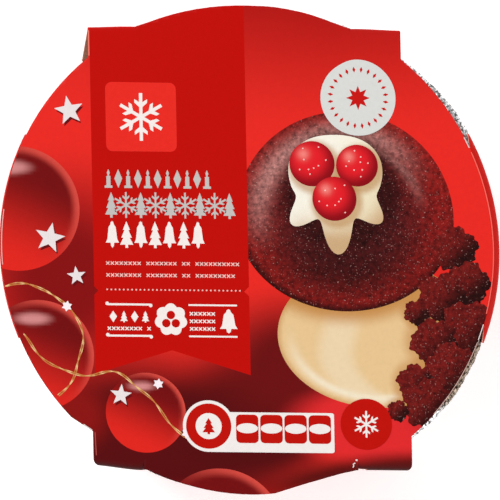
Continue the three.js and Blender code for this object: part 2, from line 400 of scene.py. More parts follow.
def askew(bm):  # the sleeve was glued a little askew, and the frame's middle isn't quite the print's
    skewX, skewY = carton["skew"]
    for vert in bm.verts:
        x, y, z = vert.co
        y += slack(x, y)
        vert.co = (x - skewX * y + carton["shift"], y - skewY * x, z)


def wingMeets(wing, radius, x, side):  # where a wing's circle meets the edge of the band, and at what angle
    middleX, middleY = wing["middle"]
    up = side * sqrt(radius ** 2 - (x - middleX) ** 2)
    return middleY + up, degrees(atan2(up, x - middleX))


def drawFront():
    c = carton
    top, bottom, right, left = (c[key] for key in ("top", "bottom", "right", "left"))
    (lowLeft, lowRight), (highLeft, highRight) = (
        [fold["shift"] + way * fold["half"] for way in (-1, 1)] for fold in (bottom, top))
    (startRight, startTurn), (endRight, endTurn) = (
        wingMeets(right, c["wing"], x, side) for x, side in ((lowRight, -1), (highRight, 1)))
    startLeft, leftStart = wingMeets(left, c["wing"], highLeft, 1)
    topShoulder, bottomShoulder = top["fold"] - top["radius"], bottom["radius"] - bottom["fold"]
    bentTurn = degrees(asin(c["bentFrom"] / bottom["flapRadius"]))
    return drawOutline(
        (lowRight, bottomShoulder), (lowRight, startRight), (*right["middle"], endTurn - startTurn),
        (highRight, topShoulder), (c["flapHalf"], topShoulder), (c["flapHalf"], top["fold"]),
        (0, top["flapCentre"], 2 * top["flapTurn"]), (-c["flapHalf"], topShoulder), (highLeft, topShoulder),
        (highLeft, startLeft), (*left["middle"], 360 + c["worn"][0] - leftStart), (lowLeft, c["worn"][1]),
        (lowLeft, bottomShoulder),
        (-c["flapHalf"], bottomShoulder), (-c["flapHalf"], -bottom["fold"]),
        (0, -bottom["flapCentre"], bottom["flapTurn"] + bentTurn), (c["flapHalf"], -bottom["fold"]),
        (c["flapHalf"], bottomShoulder), (lowRight, bottomShoulder))


def drawWall(fold):  # drawn flat: y is the way down from where the fold starts to bend
    c = carton
    bend = fold["radius"] * pi / 2
    foot = bend + c["depth"] - fold["radius"]
    holeTop = bend - fold["radius"]
    left, right = (fold["side"] * fold["shift"] + way * fold["half"] for way in (-1, 1))
    wall = drawOutline(
        (right, 0), (right, foot), (left, foot), (left, 0), (-c["flapHalf"], 0), (-c["flapHalf"], holeTop),
        (0, holeTop + fold["rise"] - fold["flapRadius"], -2 * fold["flapTurn"]), (c["flapHalf"], 0),
        (right, 0))
    for k in range(1, 7):
        cutAt(wall, 1, bend * k / 6)
    for k in range(1, 12):
        cutAt(wall, 1, bend + (foot - bend) * k / 12)
    return wall


def openRimSlot(wall, fold):  # the dish's rim pokes through the wall beside the hole that the flap leaves
    bend = fold["radius"] * pi / 2
    high, low = (bend + carton["depth"] - fold["radius"] - z for z in (dish["slotTop"], dish["slotLow"]))
    left, right = (fold["side"] * dish["x"] + side * dish["slotHalf"] for side in (-1, 1))
    for axis, place in ((1, high), (1, low), (0, left), (0, right)):
        cutAt(wall, axis, place)
    middles = {face: face.calc_center_median() for face in wall.faces}
    inside = [face for face, at in middles.items() if left < at.x < right and high < at.y < low]
    bmesh.ops.delete(wall, geom=inside, context="FACES")


def foldWall(wall, fold):
    c = carton
    radius, side = fold["radius"], fold["side"]
    bend = radius * pi / 2
    start, height = fold["fold"] - radius, c["depth"] - radius
    net = netOf(wall)
    for vert in wall.verts:
        x, way, _ = vert.co
        vert[net] = (side * x, side * (start + way), 0)
        if way < bend:
            y, z = start + radius * sin(way / radius), height + radius * cos(way / radius)
        else:
            down = (way - bend) / height
            y = fold["fold"] + (c["backFold"] - fold["fold"]) * down
            z = height * (1 - down)
        x *= 1 - fold["pulledIn"] / fold["half"] * smoothStep(0.2, 1, way / bend)  # soft corners
        x -= fold["lean"] * (1 - z / c["depth"])
        vert.co = (side * x, side * y, z)


def foldStrip(front, strip):  # the wing's edge is drawn down over the rim, along a curved crease
    c = carton
    net = netOf(front)
    centre = Vector((*strip["middle"], 0))
    edges = []
    for edge in front.edges:
        middle = (edge.verts[0].co + edge.verts[1].co) / 2 - centre
        angle = degrees(atan2(middle.y, middle.x))
        inRange = (angle - strip["start"]) % 360 < strip["turn"]
        if edge.is_boundary and inRange and middle.xy.length > c["wing"] - 0.2:
            edges.append(edge)
    bulge = strip["bulge"] - c["wing"]
    section = [(c["wing"] + bulge * out, c["depth"] - drop) for out, drop in c["shoulder"]]
    section += [(strip["bulge"] + (c["backWing"] - strip["bulge"]) * k / 8, c["bulgeLow"] * (1 - k / 8))
                for k in range(1, 9)]
    spread, last = c["wing"], Vector((c["wing"], c["depth"]))
    for radius, z in section:
        made = bmesh.ops.extrude_edge_only(front, edges=edges)["geom"]
        edges = [part for part in made if isinstance(part, bmesh.types.BMEdge) and part.is_boundary
                 and all(v in made for v in part.verts)]
        spread += (Vector((radius, z)) - last).length
        last = Vector((radius, z))
        for vert in (part for part in made if isinstance(part, bmesh.types.BMVert)):
            along = ((vert.co - centre) * Vector((1, 1, 0))).normalized()
            vert.co = centre + along * radius + Vector((0, 0, z))
            vert[net] = (centre.x + along.x * spread, centre.y + along.y * spread, 0)


def onWing(wing, radius, angle):
    turn = radians(angle)
    return Vector((*wing["middle"], 0)) + radius * Vector((cos(turn), sin(turn), 0))


def pastWing(wing, point):  # how far a place lies outside the wing's circle
    return (point.xy - Vector(wing["middle"])).length - carton["wing"]


def openSlits(front):  # at its ends the right strip has come off the wing, and the foil shows between them
    wing = carton["right"]

    def ofStrip(face):
        middle = face.calc_center_median()
        angle = degrees(atan2(middle.y - wing["middle"][1], middle.x - wing["middle"][0]))
        nearEnd = wing["start"] < angle < wing["start"] + wing["turn"]
        return nearEnd and middle.z > carton["depth"] - 2.6 and pastWing(wing, middle) > 0.02

    for start, end in carton["slits"]:
        corner = onWing(wing, carton["wing"], start)
        along = onWing(wing, wing["bulge"], end) - corner
        inward = Vector((-along.y, along.x, 0))
        if inward.dot(corner) > 0:
            inward = -inward
        upper = {part for face in front.faces if ofStrip(face) for part in (face, *face.edges, *face.verts)}
        bmesh.ops.bisect_plane(front, geom=list(upper), dist=1e-4, plane_co=corner, plane_no=inward)
        torn = []
        for face in front.faces:
            way = face.calc_center_median() - corner
            if ofStrip(face) and way.dot(along) > 0 and way.dot(inward) > 0:
                torn.append(face)
        bmesh.ops.delete(front, geom=torn, context="FACES")


def drawBack():
    c = carton
    right, left, radius, half = c["right"], c["left"], c["backWing"], c["backHalf"]
    edge, chamfer, foot = c["backEdge"], c["backChamfer"], -c["backFold"]
    (lowY, lowTurn), (_, highTurn) = (wingMeets(right, radius, half, side) for side in (-1, 1))
    (leftY, leftTurn), (_, leftLowTurn) = (wingMeets(left, radius, -half, side) for side in (1, -1))
    return drawOutline(
        (half, foot), (half, lowY), (*right["middle"], highTurn - lowTurn), (half, edge - chamfer),
        (half - chamfer, edge), (chamfer - half, edge), (-half, edge - chamfer), (-half, leftY),
        (*left["middle"], 360 + leftLowTurn - leftTurn), (-half, foot), (half, foot))


def drawGlueFlap():
    c = carton
    low, middle = c["backFold"] - c["glueDepth"], c["top"]["shift"] - c["top"]["lean"]
    glue, fold = c["glueHalf"], c["top"]["half"]
    return drawOutline(
        (middle - glue, low), (middle + glue, low), (middle + fold, c["backFold"]),
        (middle - fold, c["backFold"]), (middle - glue, low))


def faceDown(sheet, z):
    bmesh.ops.reverse_faces(sheet, faces=sheet.faces[:])
    net = netOf(sheet)
    for vert in sheet.verts:
        vert[net] = (vert.co.x, vert.co.y - backInk["away"], 0)
        vert.co.z = z


# The back's ink lies far off on the net. It has a plain pale panel, as packs have for their small print.
backInk = {"away": 1000, "ground": "#B5120C", "panel": "#E9E4DF", "half": (40, 46)}
banner = {
    "left": -53.0, "right": 0.45, "tips": -43.2, "apex": (-26.5, -34.9), "ink": "#C50700",
    "notches": ((-53.05, -51.7, -13.0, -14.5, -16.0), (0.5, -1.3, -12.6, -14.4, -16.0)),
}


def inBanner(x, y):
    if not banner["left"] < x < banner["right"]:
        return False
    apexX, apexY = banner["apex"]
    reach = apexX - banner["left"] if x < apexX else banner["right"] - apexX
    return y > apexY + (banner["tips"] - apexY) * abs(x - apexX) / reach


ground = {
    "base": "#EE2A22", "walls": "#B5120C", "strip": "#C9190F", "wallsFrom": (78, 90),
    "fold": "#2C0103", "foldShade": ((0.65, -83, -77, -75.6, -73.2),),  # painted shade along the bottom fold: how dark it is, along y
    "washes": (  # soft sprayed fields of colour: middle, radii, how soft the edge is, colour
        ((30, 96), (120, 42), 0.9, "#B2120E"),  # darker towards the top
        ((-62, -10), (34, 36), 0.7, "#8A0C0E"),  # shade between the baubles
        ((-34, -66), (56, 30), 0.5, "#5C070A"),
        ((-62, -58), (14, 12), 0.6, "#8E110E"),
        ((2, -60), (30, 22), 0.5, "#560609"),
        ((18, -40), (34, 24), 0.6, "#6E0C0E"),  # shade under the pudding
        ((46, -60), (34, 15), 0.35, "#E62A2C"),
        ((66, -36), (16, 26), 0.8, "#A01214"),
        ((62, -95), (70, 26), 0.15, "#5E0C0A"),
        ((-50, -86), (60, 15), 0.3, "#5A0609"),
    ),
}
groundWashes = [(*wash[:3], toLinear(wash[3])) for wash in ground["washes"]]


def artwork(x, y):
    colour = toLinear(ground["base"])
    for middle, radii, soft, ink in groundWashes:
        reach = hypot(*within(x, y, middle, radii))
        colour = mixed(colour, ink, 1 - smoothStep(1 - soft, 1 + soft / 2, reach))
    return mixed(colour, toLinear(ground["walls"]), smoothStep(*ground["wallsFrom"], abs(y)))


def inkAt(x, y, middle):
    if middle.y < -backInk["away"] / 2:
        wide, high = backInk["half"]
        onPanel = abs(middle.x) < wide and abs(middle.y + backInk["away"]) < high
        return toLinear(backInk["panel" if onPanel else "ground"])
    if abs(middle.x) > 60 and pastWing(carton["right" if middle.x > 0 else "left"], middle) > 0.1:
        return toLinear(ground["strip"])
    if inBanner(middle.x, middle.y):
        return toLinear(banner["ink"])
    # painted shade on the bottom fold, which faces down, beside the flap
    shaded = (abs(middle.x) > carton["flapHalf"]) * swell(ground["foldShade"], y)
    return mixed(artwork(x, y), toLinear(ground["fold"]), shaded)


def makeSleeve():
    front = drawFront()
    apex = Vector((*banner["apex"], 0))
    for x in (banner["left"], banner["right"]):
        cutAt(front, 0, x)
        cutLine(front, apex, Vector((banner["tips"] - apex.y, apex.x - x, 0)).normalized())
    cutGrid(front, carton["grid"])
    net = netOf(front)
    for vert in front.verts:
        vert[net] = vert.co
        vert.co.z = carton["depth"]
    for strip in (carton["right"], carton["left"]):
        foldStrip(front, strip)
    openSlits(front)
    for fold in (carton["top"], carton["bottom"]):
        wall = drawWall(fold)
        openRimSlot(wall, fold)
        for x in (banner["right"], banner["left"]):
            cutAt(wall, 0, fold["side"] * x)
        for k in range(-46, 47):
            cutAt(wall, 0, k * carton["grid"])
        foldWall(wall, fold)
        addTo(front, wall)
    bmesh.ops.remove_doubles(front, verts=front.verts[:], dist=0.02)
    back = drawBack()
    for axis, half in enumerate(backInk["half"]):
        for way in (-1, 1):
            cutAt(back, axis, way * half)
    for sheet, z in ((back, 0), (drawGlueFlap(), carton["board"])):
        faceDown(sheet, z)
        addTo(front, sheet)
    askew(front)
    ink = front.loops.layers.float_color.new("ink")
    net = netOf(front)
    for face in front.faces:
        places = [loop.vert[net] for loop in face.loops]
        middle = sum(places, Vector()) / len(places)
        for loop, place in zip(face.loops, places):
            loop[ink] = inkAt(place.x, place.y, middle)
    front.verts.layers.float_vector.remove(net)
    sleeve = finishPiece("cartonSleeve", front, [printedBoard, brownBoard, boardCore], 35)
    board = sleeve.modifiers.new("board", "SOLIDIFY")
    board.thickness = carton["board"] * mm
    board.offset = -1
    board.use_even_offset = True
    board.material_offset = 1
    board.material_offset_rim = 2
    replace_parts(sleeve, "sleeve")


# The print: every printed shape is a closed film of ink a few hundredths of a millimetre thick

film = {
    "sunk": 0.02, "first": 0.02, "step": 0.02,
    "grid": 1.0, "fineGrid": 0.8,  # how finely a film is divided for its soft colours
    "margin": 0.06,  # how far inside a wing's edge it ends
}


def layPrint(name, films, material=printedBoard):
    whole = bmesh.new()
    for flat, level, shade, *grid in films:  # shade is one colour, or a rule that gives it from x and y
        if grid:
            cutGrid(flat, *grid)
        rise = film["first"] + film["step"] * level
        bmesh.ops.solidify(flat, geom=flat.faces[:], thickness=rise + film["sunk"])
        ink = flat.loops.layers.float_color.new("ink")
        for face in flat.faces:
            for loop in face.loops:
                loop[ink] = shade(loop.vert.co.x, loop.vert.co.y) if callable(shade) else toLinear(shade)
        bmesh.ops.translate(flat, vec=(0, 0, carton["depth"] + rise), verts=flat.verts[:])
        addTo(whole, flat)
    askew(whole)
    finishPiece(name, whole, [material])


def layered(colour, *coats):  # a coat is a colour and how strongly it lies over what is below
    for ink, amount in coats:
        colour = mixed(colour, ink, amount)
    return colour


def inks(table, *names):
    return [toLinear(table[name]) for name in names]


# Large baubles behind the banner: middle, radius and how strong the glint is

baubles = {
    "places": (((-79, 13.5), 21.5, 0.8), ((-72.5, -37), 19, 0.8), ((-36, -56.5), 13.8, 0.8),
               ((-11, -97.5), 22, 0)),
    "dark": "#76090C", "bright": "#E6261D", "rim": "#F0564A", "glint": "#E89A98",
}


def shadeBauble(middle, radius, glint):
    dark, bright, edge, shine = inks(baubles, "dark", "bright", "rim", "glint")

    def shade(x, y):
        across, up = within(x, y, middle, (radius, radius))
        rim = smoothStep(0.84, 0.98, hypot(across, up)) * smoothStep(-0.2, 0.9, 0.6 * up + 0.8 * across)
        spot = hypot((across + 0.1) / 0.42, (up - 0.66) / 0.14)
        return layered(dark, (bright, smoothStep(-0.55, 0.75, -0.8 * up - 0.35 * across)),
                       (edge, 0.75 * rim), (shine, glint * (1 - smoothStep(0.3, 1.1, spot))))
    return shade


def baubleFilms():
    bottom = carton["bottom"]
    for level, (middle, radius, glint) in enumerate(baubles["places"]):
        edge = (carton["wing"] - film["margin"], (0, 0))
        if middle[1] < -carton["wing"]:
            edge = (bottom["flapRadius"] - 0.1, (0, -bottom["flapCentre"]))
        ball = trimRound(disc(*middle, radius, segments=128), *edge)
        yield ball, level / 4, shadeBauble(middle, radius, glint), film["grid"]


# White paper stars with their shadows, and the string of lights

paperStars = {
    "places": ((-60.5, 47.5, 5.2, 100), (-68, 3.5, 5.4, 78), (-59, -9.5, 3.4, 96), (-44.5, -50.5, 3.9, 84)),
    "paper": "#F0E6E6", "shadow": "#6A0A0E", "shadowAt": (0.5, -0.9), "shadowSize": 0.96,
}


def starFilms():
    across, up = paperStars["shadowAt"]
    for x, y, radius, turn in paperStars["places"]:
        shadow = star(x + across, y + up, radius * paperStars["shadowSize"], turn=turn)
        yield shadow, 1.5, paperStars["shadow"]
        yield star(x, y, radius, turn=turn), 2, paperStars["paper"]


lights = {
    "wires": (
        ((-84, -14), (-76, -12), (-67, -17), (-60, -22), (-57.5, -32), (-60, -43), (-66, -51)),
        ((-78, -30), (-68, -40.5), (-58, -43.5), (-46, -43), (-38, -48), (-30, -57), (-22.8, -65)),
    ),
    "wire": "#C87A3C", "wireLight": "#F3CB8E", "width": 0.36, "twist": 0.55, "twistLength": 9,
    "bulbs": ((-62.5, -20), (-31.5, -46.5), (-22, -63.5)), "bulb": 1.9, "core": "#FFF4F8",
}


def throughPoints(points, steps=14):  # a smooth curve through chosen points
    route = []
    last = len(points) - 1
    for k in range(last):
        before, here, there, after = (Vector(points[min(last, max(0, k + n))]) for n in (-1, 0, 1, 2))
        square = 2 * before - 5 * here + 4 * there - after
        cube = 3 * here - before - 3 * there + after
        for step in range(steps):
            t = step / steps
            route.append(0.5 * (2 * here + (there - before) * t + square * t ** 2 + cube * t ** 3))
    return route + [Vector(points[last])]


def lightFilms():
    dark, light = inks(lights, "wire", "wireLight")

    def gilt(x, y):
        wave = sin(x * 1.7 + y * 1.1) * cos(y * 0.8 - x * 0.5)
        return mixed(dark, light, smoothStep(-0.2, 0.8, wave))

    for number, points in enumerate(lights["wires"]):
        route = throughPoints(points)
        for way in (-1, 1):
            strand, run = [], 0
            for k, point in enumerate(route):
                ahead = route[min(k + 1, len(route) - 1)] - route[max(k - 1, 0)]
                run += (point - route[max(k - 1, 0)]).length
                side = Vector((-ahead.y, ahead.x)).normalized()
                wave = sin(run / lights["twistLength"] * pi + way)
                strand.append(point + side * way * lights["twist"] * wave)
            line = trimRound(stroke(strand, lights["width"]), carton["wing"] - film["margin"])
            yield line, 1.6 + 0.3 * (way > 0) + number * 0.6, gilt
    for middle in lights["bulbs"]:
        yield star(*middle, lights["bulb"], points=6, waist=0.62, turn=20), 4.2, lights["core"]


# The banner with its ornaments: a knitted pattern where a pack has its words. Each figure is one unit high,
# and each arm of a flake or cross one unit long.

tree = [(0, 0.5), (0.27, 0.17), (0.15, 0.17), (0.4, -0.12), (0.24, -0.12), (0.5, -0.38), (0.1, -0.38),
        (0.1, -0.5)]
bell = [(0, 0.5), (0.1, 0.46), (0.13, 0.38), (0.27, 0.27), (0.33, 0.0), (0.37, -0.17), (0.5, -0.31),
        (0.14, -0.31), (0.11, -0.43), (0, -0.5)]
candle = [(0, 0.5), (0.2, 0.3), (0.08, 0.16), (0.26, 0.12), (0.26, -0.36), (0.5, -0.38), (0.5, -0.5)]
lozenge = [(0, 0.5), (0.5, 0), (0, -0.5)]
snowArm = [(0.07, 0.12), (0.07, 0.42), (0.27, 0.6), (0.27, 0.75), (0.07, 0.62), (0.07, 1), (-0.07, 1),
           (-0.07, 0.62), (-0.27, 0.75), (-0.27, 0.6), (-0.07, 0.42), (-0.07, 0.12)]
crossArm = [(0.22, 0.22), (0.22, 1), (-0.22, 1), (-0.22, 0.22)]

ornaments = {
    "silver": "#C9C4C0", "white": "#FBF1EC", "pale": "#F6C9C2", "red": "#EE2B22",
    "tag": (-35.7, 45.5, 24.4, 23.8, 2.2), "flake": 8.2,
    # left, y, width, height, pitch, count, ink and the shapes that take turns
    "rows": (
        (-48.7, 24.2, 2.7, 6.5, 3.4, 11, "silver", (candle, lozenge)),
        (-48.7, 15.1, 4.3, 8.9, 5.1, 9, "silver", (tree, snowArm)),
        (-48.7, 4.9, 4.6, 9.2, 4.93, 7, "white", (bell, tree)),
        (-47.9, -23.4, 2.6, 4.0, 3.7, 4, "white", (lozenge, tree)),
        (-9.9, -24.7, 6.2, 8.4, 0, 1, "white", (bell,)),
    ),
    # small cross stitches, grouped as a knitter would: left, y, count, pitch, size and ink
    "stitches": (
        (-48.1, -5.0, 30, 1.54, 0.78, "pale"), (-48.1, -9.1, 29, 1.54, 0.78, "pale"),
        (-48.0, -27.5, 10, 1.52, 0.8, "white"), (-19.6, -22.2, 6, 1.5, 0.8, "white"),
        (-19.6, -24.8, 6, 1.5, 0.8, "white"), (-19.6, -27.4, 6, 1.5, 0.8, "white"),
    ),
    "gaps": (3, 11, 17),
    "dots": {"left": -48.5, "y": -14.1, "count": 33, "pitch": 1.43, "radius": 0.3},
    "barsAt": (-19.2, -30.0), "bars": ((-41.1, 15.6, 0.7, 0.3), (-12.2, 16.8, 0.6, 0.25)),
    "knobs": ((-48.6, 0.3), (-33.6, -0.3)), "knob": 0.62,
    "badge": (-26.7, -24.3), "badgeRadius": 4.7, "badgeWave": 0.95,
    "berries": (-26.7, -24.6), "berry": 1.45, "berrySpread": 1.9,
}


def badgeEdge(angle):
    wave = abs(sin(3.5 * (angle + pi / 2)))
    return ornaments["badgeRadius"] + ornaments["badgeWave"] * wave


def ornamentFilms():
    o = ornaments
    for edge, tip, high, middle, low in banner["notches"]:
        yield drawOutline((edge, high), (tip, middle), (edge, low), (edge, high)), 1, artwork
    yield box(*o["tag"]), 1, o["red"]
    yield rosette(*o["tag"][:2], o["flake"], snowArm, 6), 2, o["white"]
    for left, y, width, height, pitch, count, ink, shapes in o["rows"]:
        for k in range(count):
            x, shape = left + width / 2 + k * pitch, shapes[k % len(shapes)]
            if shape is snowArm:
                yield rosette(x, y, height / 2, shape, 6), 2, o[ink]
            else:
                yield figure(x, y, shape, width, height), 2, o[ink]
    for left, y, count, pitch, size, ink in o["stitches"]:
        for k in range(count):
            if k * 5 % 23 not in o["gaps"]:
                yield rosette(left + k * pitch, y, size, crossArm, 4, 45), 2, o[ink]
    dots = o["dots"]
    for k in range(dots["count"]):
        dot = disc(dots["left"] + k * dots["pitch"], dots["y"], dots["radius"], segments=10)
        yield dot, 2, o["pale"]
    for y in o["barsAt"]:
        for x, *size in o["bars"]:
            yield box(x, y, *size), 2, o["white"]
        for x, up in o["knobs"]:
            yield disc(x, y + up, o["knob"], segments=20), 3, o["white"]
    yield blob(*o["badge"], badgeEdge), 2, o["white"]
    for turn in (90, 210, 330):
        angle = radians(turn)
        x, y = (at + o["berrySpread"] * way(angle) for at, way in zip(o["berries"], (cos, sin)))
        yield disc(x, y, o["berry"], segments=32), 3, banner["ink"]


# A plain round sticker, the weight disc and the label panel, without words

sticker = {
    "middle": (39.3, 52.8), "radius": 12.95, "paper": "#DEDEDA", "ink": "#CC1410",
    "star": 4.1, "ring": 9.6, "count": 24, "mark": (1.0, 2.0),
}
labels = {
    "ink": "#C30D02", "white": "#F7F0EC",
    "weight": (40.0, -59.7), "weightRadius": 8.8, "flake": 4.6,
    "disc": (-14.4, -60.9), "tree": (4.4, 5.6),
    # each ring: radius, segments, level, ink
    "rings": ((8.9, 96, 4, "white"), (7.8, 96, 5, "ink"), (4.5, 64, 6, "white")),
    "barRight": 28.9, "barTop": -56.0, "barCorner": 0.8,
    "pill": (7.7, 9.8, 1.5), "firstPill": -1.1, "pillPitch": 8.35, "pillY": -61.7,
    "pillCount": 4, "window": (3.7, (1, 0.47)), "windowRise": 0.2,
}


def stickerFilms():
    x, y = sticker["middle"]
    yield disc(x, y, sticker["radius"], segments=128), 4, sticker["paper"]
    yield star(x, y, sticker["star"], points=8, waist=0.52), 5, sticker["ink"]
    for k in range(sticker["count"]):
        turn = (k + 0.5) * 360 / sticker["count"]
        angle = radians(turn)
        spot = (x + sticker["ring"] * cos(angle), y + sticker["ring"] * sin(angle))
        yield figure(*spot, lozenge, *sticker["mark"], turn + 90), 5, sticker["ink"]


def labelFilms():
    c = labels
    yield disc(*c["weight"], c["weightRadius"], segments=96), 5, c["ink"]
    yield rosette(*c["weight"], c["flake"], snowArm, 6), 6, c["white"]
    x, y = c["disc"]
    for radius, segments, level, ink in c["rings"]:
        yield disc(x, y, radius, segments=segments), level, c[ink]
    low = y - c["rings"][0][0]
    bar = box((x + c["barRight"]) / 2, (low + c["barTop"]) / 2, c["barRight"] - x, c["barTop"] - low,
              c["barCorner"])
    yield bar, 4.5, c["white"]
    yield figure(x, y, tree, *c["tree"]), 7, c["ink"]
    for k in range(c["pillCount"]):
        middle = c["firstPill"] + k * c["pillPitch"]
        yield box(middle, c["pillY"], *c["pill"]), 6, c["ink"]
        yield disc(middle, c["pillY"] + c["windowRise"], *c["window"]), 7, c["white"]


# The printed pudding: a whole dome under poured cream, with three round berries, on a pool of custard

pudding = {
    "dome": (34, 11), "radius": (37.5, 37), "flatter": 0.86,
    "crust": "#4E1314", "crustLight": "#B27A74", "crustRed": "#8A1814", "crustDark": "#210606",
    "cap": (31, 25), "capRadius": 16, "cream": "#F4E6C4", "creamShade": "#C08A4E", "creamLight": "#FDF7E8",
    "pool": (45, -29), "poolRadius": (35, 25),
    "custard": "#ECC893", "custardShade": "#C98C4A", "custardLight": "#F8E9CC",
    "berries": ((23, 30, 7.8), (38.5, 29.5, 7.2), (30.5, 18, 7.6)),
    "berry": "#E81E28", "berryLight": "#FF9A90", "berryDark": "#8E0814",
    "seeds": 9, "seed": 0.28, "seedInk": "#FFC9C2",
    "lumps": ((72, 1, 7.5), (76, -11, 7.5), (67, -16, 8.5), (76, -27, 10), (64, -31, 8), (70, -41, 9.5),
              (57, -45, 6), (61.5, -52.5, 8.5), (51, -55, 3.6), (58, -21, 4.2)),
    "lump": "#6A1512", "lumpDark": "#260807",
    "crumb": 1.5, "spark": 0.55, "sparkInk": "#E9B9AE",  # the sizes in mm
}


def makeCrumbInk():  # the pudding's picture: the same varnished ink, broken up by crumbs and tiny lights
    material, shader = startMaterial("printed_crumb_on_boxboard", printFinish["varnish"])
    place = addNode(material, "ShaderNodeTexCoord").outputs["Object"]
    crumb = addNoise(material, place, 1 / (pudding["crumb"] * mm), 6, 0.7)
    dark = addScaled(material, addInk(material), addRange(material, crumb, 0.25, 1.5, 0.3, 0.72))
    sparks = addRange(material, addNoise(material, place, 1 / (pudding["spark"] * mm), 1), 0, 0.35, 0.66, 0.8)
    colour = addNode(material, "ShaderNodeMix", {"data_type": "RGBA"}, {"B": toLinear(pudding["sparkInk"])},
                     {"Factor": sparks, "A": dark})
    return finishMaterial(material, shader, {"Base Color": colour.outputs["Result"]})


def shadeDome(x, y):
    p = pudding
    across, up = within(x, y, p["dome"], p["radius"])
    if up < 0:
        up /= p["flatter"]
    out, angle = hypot(across, up), atan2(up, across)
    crust, light, red, dark = inks(p, "crust", "crustLight", "crustRed", "crustDark")
    ring = exp(-((out - 0.8) / 0.1) ** 2) * smoothStep(-0.1, 1, cos(angle - 2.0))
    sheen = exp(-((out - 0.72) / 0.05) ** 2) * smoothStep(0.4, 1, cos(angle - 1.2))
    near = hypot(x - p["cap"][0] - 1.5, y - p["cap"][1] + 4) / p["capRadius"]
    return layered(
        crust, (red, 0.8 * smoothStep(0.45, 0.95, out)),
        (dark, 0.75 * smoothStep(0, -0.8, up) * smoothStep(1.1, 0.5, out)),
        (light, max(0.9 * ring, 0.5 * sheen)), (dark, 0.7 * smoothStep(1.5, 1.05, near)),
        (dark, 0.9 * smoothStep(0.9, 1.0, out) * smoothStep(0.3, -0.4, up)))


def shadePool(x, y):
    p = pudding
    across, up = within(x, y, p["pool"], p["poolRadius"])
    out = hypot(across, up)
    custard, shadow, light = inks(p, "custard", "custardShade", "custardLight")
    swirl = sin(0.16 * x + 0.12 * y + 1.5 * sin(0.11 * y))
    wide, tall = p["radius"]
    near = hypot(*within(x, y, p["dome"], (wide, tall * p["flatter"])))
    byLumps = [hypot(x - lumpX, y - lumpY) / radius for lumpX, lumpY, radius in p["lumps"]]
    return layered(
        custard, (light, 0.45 * smoothStep(0.2, 1, swirl)),
        (light, exp(-((out - 0.87) / 0.05) ** 2) * smoothStep(0.2, -0.8, up)),
        (shadow, 0.95 * smoothStep(1.22, 1.0, near)),
        *((shadow, 0.6 * smoothStep(1.6, 1.0, lump)) for lump in byLumps),
        (shadow, 0.6 * smoothStep(0.94, 1.0, out)))


def shadeCream(x, y):
    p = pudding
    across, up = within(x, y, p["cap"], (p["capRadius"], p["capRadius"]))
    cream, shadow, light = inks(p, "cream", "creamShade", "creamLight")
    colour = mixed(light, cream, smoothStep(-0.6, 0.9, across - 0.6 * up))
    for berryX, berryY, radius in p["berries"]:
        near = hypot(x - berryX - 0.8, y - berryY + 1.2) / radius
        colour = mixed(colour, shadow, 0.7 * smoothStep(1.35, 1.0, near))
    edge = smoothStep(0.8, 1.4, hypot(across, up)) * smoothStep(0.4, -0.8, up - across)
    return mixed(colour, shadow, 0.7 * edge)


def shadeBerry(middle, radius):
    berry, light, dark = inks(pudding, "berry", "berryLight", "berryDark")

    def shade(x, y):
        across, up = within(x, y, middle, (radius, radius))
        colour = mixed(berry, dark, smoothStep(0.45, 1.15, hypot(across + 0.15, up - 0.2)))
        return mixed(colour, light, 0.75 * exp(-((across + 0.38) ** 2 + (up - 0.42) ** 2) / 0.06))
    return shade


def shadeLump(middle, radius):
    lump, dark = inks(pudding, "lump", "lumpDark")
    return lambda x, y: mixed(lump, dark, smoothStep(-0.6, 0.9, ((x - middle[0]) - (y - middle[1])) / radius))


def lumpEdge(radius, k):  # a crumbly round edge, each in its own way
    waves = ((0.08, 5, k), (0.05, 11, 2 * k), (0.03, 23, k))
    return lambda angle: radius * (1 + sum(deep * sin(count * angle + on) for deep, count, on in waves))


def creamEdge(angle):  # cream runs down in rounded tongues
    down = smoothStep(0.1, 1, -sin(angle))
    tongues = down * (0.26 + 0.32 * sin(7.5 * angle + 0.6))
    return pudding["capRadius"] * (1 + 0.06 * sin(3 * angle) + tongues)


def custardFilms():
    edge = (carton["wing"] - film["margin"], carton["right"]["middle"])
    pool = trimRound(disc(*pudding["pool"], 1, pudding["poolRadius"], segments=128), *edge)
    yield pool, 0, shadePool, film["grid"]


def domeFilms():
    p = pudding
    edge = (carton["wing"] - film["margin"], carton["right"]["middle"])
    dome = disc(*p["dome"], 1, p["radius"], segments=160)
    for vert in dome.verts:
        if vert.co.y < p["dome"][1]:
            vert.co.y = p["dome"][1] + (vert.co.y - p["dome"][1]) * p["flatter"]
    cutLine(dome, (banner["right"], 0, 0), (1, 0, 0), clear_inner=True)
    yield dome, 1, shadeDome, film["grid"]
    for k, (x, y, radius) in enumerate(p["lumps"]):
        crumbly = trimRound(blob(x, y, lumpEdge(radius, k)), *edge)
        yield crumbly, 1.2 + 0.15 * k, shadeLump((x, y), radius), film["grid"]


def creamFilms():
    p = pudding
    yield blob(*p["cap"], creamEdge, segments=160), 3, shadeCream, film["grid"]
    for number, (x, y, radius) in enumerate(p["berries"]):
        yield disc(x, y, radius), 4 + 0.5 * number, shadeBerry((x, y), radius), film["fineGrid"]
        for k in range(p["seeds"]):
            angle, out = 2.4 * k + x, radius * (0.2 + 0.6 * abs(uneven(k + int(x))))
            seed = disc(x + out * cos(angle), y + out * sin(angle), p["seed"], segments=10)
            yield seed, 6, p["seedInk"]
